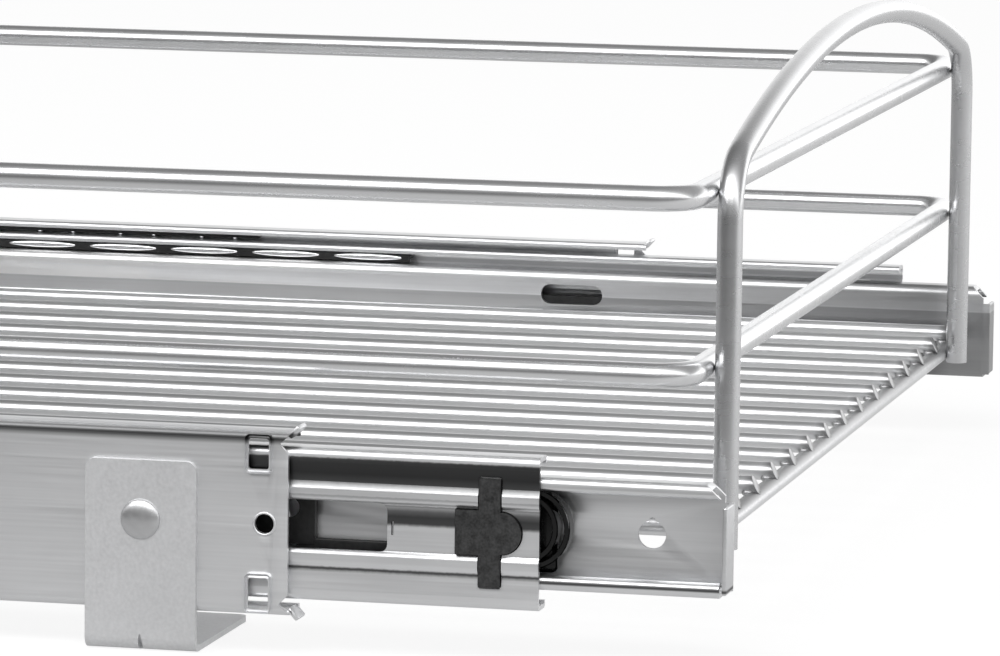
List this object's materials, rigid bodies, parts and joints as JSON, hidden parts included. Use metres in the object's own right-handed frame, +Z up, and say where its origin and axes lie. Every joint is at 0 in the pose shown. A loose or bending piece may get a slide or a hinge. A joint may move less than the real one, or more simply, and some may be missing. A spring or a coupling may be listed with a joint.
{
  "type": "pull out cabinet basket",
  "caption": "Chrome wire basket with arched ends on a pair of full extension ball bearing slides with bent screw-down feet, drawn half open.",
  "frame": {"origin": "on the cabinet floor, at the centre of the box that the half open part fills", "axes": "+Z up, front of the basket towards -Y, the slides run along Y, the left slide is at -X"},
  "size_m": [0.4448, 0.5584, 0.1477],
  "materials": {
    "wire": "satin chrome plate",
    "slide_steel": "bright zinc plate",
    "foot_steel": "satin zinc plate",
    "rivet_steel": "bright",
    "ball_steel": "polished",
    "black_plastic": "moulded",
    "bumper_plastic": "moulded"
  },
  "bodies": {
    "cabinet_side": {"left_cabinet_member": "slide_steel", "right_cabinet_member": "slide_steel", "left_front_foot": "foot_steel", "right_front_foot": "foot_steel", "left_rear_foot": "foot_steel", "right_rear_foot": "foot_steel", "foot_rivets": "rivet_steel"},
    "basket": {"front_hoop": "wire", "rear_hoop": "wire", "upper_ring": "wire", "lower_ring": "wire", "floor_wires": "wire", "front_rod": "wire", "rear_rod": "wire", "left_drawer_member": "slide_steel", "right_drawer_member": "slide_steel", "left_release_lever": "black_plastic", "right_release_lever": "black_plastic", "lever_rivets": "rivet_steel"},
    "left_middle": {"left_middle_member": "slide_steel", "left_front_stop": "black_plastic", "left_bumper": "bumper_plastic"},
    "right_middle": {"right_middle_member": "slide_steel", "right_front_stop": "black_plastic", "right_bumper": "bumper_plastic"},
    "left_outer_cage": {"left_outer_retainer": "black_plastic", "left_outer_balls": "ball_steel"},
    "right_outer_cage": {"right_outer_retainer": "black_plastic", "right_outer_balls": "ball_steel"},
    "left_inner_cage": {"left_inner_retainer": "black_plastic", "left_inner_balls": "ball_steel"},
    "right_inner_cage": {"right_inner_retainer": "black_plastic", "right_inner_balls": "ball_steel"}
  },
  "joints": [
    {"name": "basket_pull", "type": "slide", "parent": "cabinet_side", "child": "basket", "axis": [0, -1, 0], "range_m": [-0.0991, 0.302]},
    {"name": "left_middle_slide", "type": "slide", "parent": "cabinet_side", "child": "left_middle", "axis": [0, -1, 0], "range_m": [-0.0622, 0.1892]},
    {"name": "right_middle_slide", "type": "slide", "parent": "cabinet_side", "child": "right_middle", "axis": [0, -1, 0], "range_m": [-0.08, 0.2431]},
    {"name": "left_outer_cage_slide", "type": "slide", "parent": "cabinet_side", "child": "left_outer_cage", "axis": [0, -1, 0], "range_m": [-0.0313, 0.0947]},
    {"name": "right_outer_cage_slide", "type": "slide", "parent": "cabinet_side", "child": "right_outer_cage", "axis": [0, -1, 0], "range_m": [-0.0401, 0.1217]},
    {"name": "left_inner_cage_slide", "type": "slide", "parent": "cabinet_side", "child": "left_inner_cage", "axis": [0, -1, 0], "range_m": [-0.0808, 0.2457]},
    {"name": "right_inner_cage_slide", "type": "slide", "parent": "cabinet_side", "child": "right_inner_cage", "axis": [0, -1, 0], "range_m": [-0.0897, 0.2727]}
  ],
  "couplings": [
    {"joint": "left_middle_slide", "follows": "basket_pull", "ratio": 0.62563},
    {"joint": "right_middle_slide", "follows": "basket_pull", "ratio": 0.80424},
    {"joint": "left_outer_cage_slide", "follows": "basket_pull", "ratio": 0.31282},
    {"joint": "right_outer_cage_slide", "follows": "basket_pull", "ratio": 0.40212},
    {"joint": "left_inner_cage_slide", "follows": "basket_pull", "ratio": 0.81282},
    {"joint": "right_inner_cage_slide", "follows": "basket_pull", "ratio": 0.90212}
  ]
}
